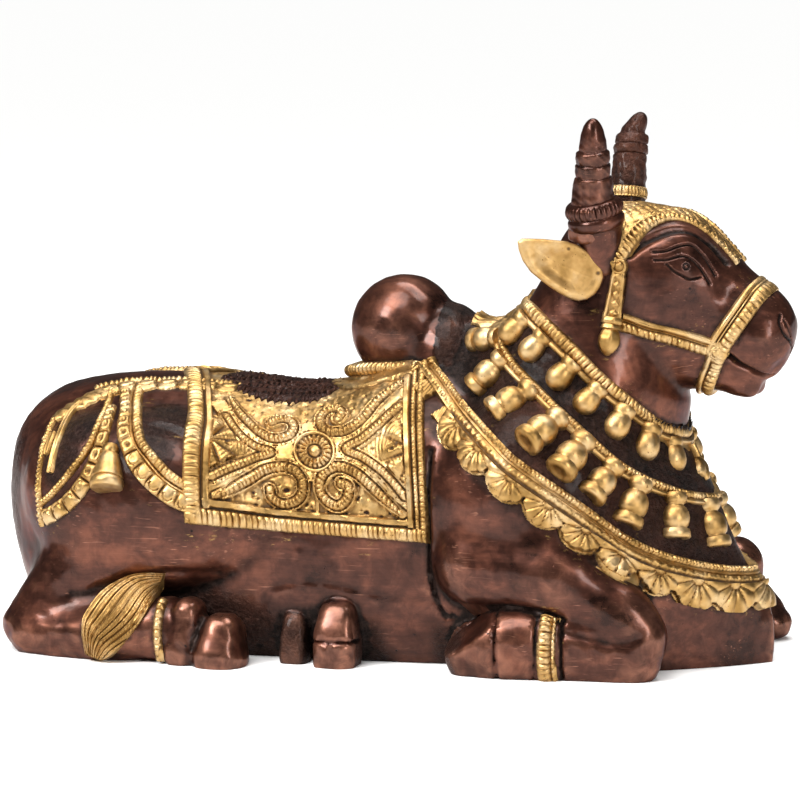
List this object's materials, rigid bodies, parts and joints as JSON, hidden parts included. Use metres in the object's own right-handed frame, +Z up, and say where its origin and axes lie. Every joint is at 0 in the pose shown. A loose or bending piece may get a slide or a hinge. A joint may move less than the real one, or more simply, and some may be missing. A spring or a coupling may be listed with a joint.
{
  "type": "nandi bull figure",
  "caption": "reclining humped bull with ringed upright horns, cast whole with a raised saddle cloth, collars of bells, flower garland and bridle; stands on its flat underside",
  "frame": {"origin": "centre of the bounding box on the plane it stands on", "axes": "+X towards the head, +Y to the bull's left, +Z up"},
  "size_m": [0.323, 0.1594, 0.2095],
  "materials": {
    "nandi_bull": "cast brass under brown copper lacquer, the raised trappings left golden and polished, dark in the hollows"
  },
  "bodies": {
    "root": {"nandi_bull": "nandi_bull"}
  },
  "joints": []
}
